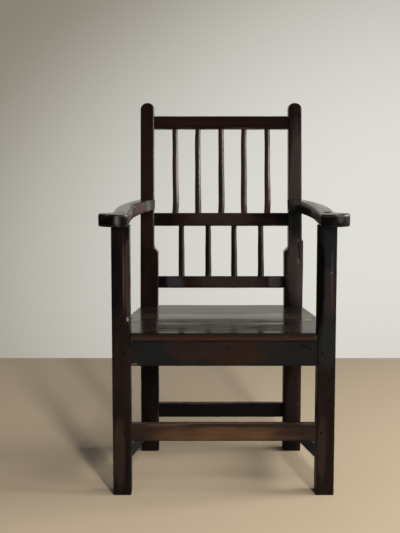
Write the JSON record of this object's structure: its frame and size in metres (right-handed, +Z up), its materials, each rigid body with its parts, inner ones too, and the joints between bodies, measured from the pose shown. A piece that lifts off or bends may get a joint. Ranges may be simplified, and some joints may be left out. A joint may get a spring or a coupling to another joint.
{
  "type": "joined armchair",
  "caption": "Joined oak armchair with an open back of rails and shaved sticks, sweeping flat arms, boarded seat and low stretchers, held by pegged tenons.",
  "frame": {"origin": "on the floor, under the centre of the chair's bounding box", "axes": "+Z up, the sitter faces -Y, +X is to the right of someone who stands in front and looks at the chair; right and left in the nodes' names are that onlooker's"},
  "size_m": [0.633, 0.556, 1.0019],
  "materials": {
    "frame_oak": "near-black brown, old wax polish, worn lighter on the arrises",
    "arm_oak": "dark brown, rubbed smooth and grey where hands rest",
    "seat_oak": "grey-brown, worn satin",
    "stick_oak": "near-black brown, shaved facets with old wax polish",
    "stretcher_oak": "warm brown, polish worn off by feet",
    "peg_oak": "darker end grain"
  },
  "bodies": {
    "root": {"right_front_post": "frame_oak", "left_front_post": "frame_oak", "right_rear_post": "frame_oak", "left_rear_post": "frame_oak", "front_seat_rail": "frame_oak", "rear_seat_rail": "frame_oak", "right_seat_rail": "frame_oak", "left_seat_rail": "frame_oak", "top_rail": "frame_oak", "middle_rail": "frame_oak", "lower_rail": "frame_oak", "right_arm": "arm_oak", "left_arm": "arm_oak", "front_seat_board": "seat_oak", "middle_seat_board": "seat_oak", "rear_seat_board": "seat_oak", "upper_stick_1": "stick_oak", "upper_stick_2": "stick_oak", "upper_stick_3": "stick_oak", "upper_stick_4": "stick_oak", "upper_stick_5": "stick_oak", "lower_stick_1": "stick_oak", "lower_stick_2": "stick_oak", "lower_stick_3": "stick_oak", "lower_stick_4": "stick_oak", "front_stretcher": "stretcher_oak", "rear_stretcher": "stretcher_oak", "right_stretcher": "stretcher_oak", "left_stretcher": "stretcher_oak", "front_frame_pegs": "peg_oak", "rear_frame_pegs": "peg_oak", "side_frame_pegs": "peg_oak", "seat_pegs": "peg_oak", "arm_pegs": "peg_oak", "back_pegs": "peg_oak"}
  },
  "joints": []
}
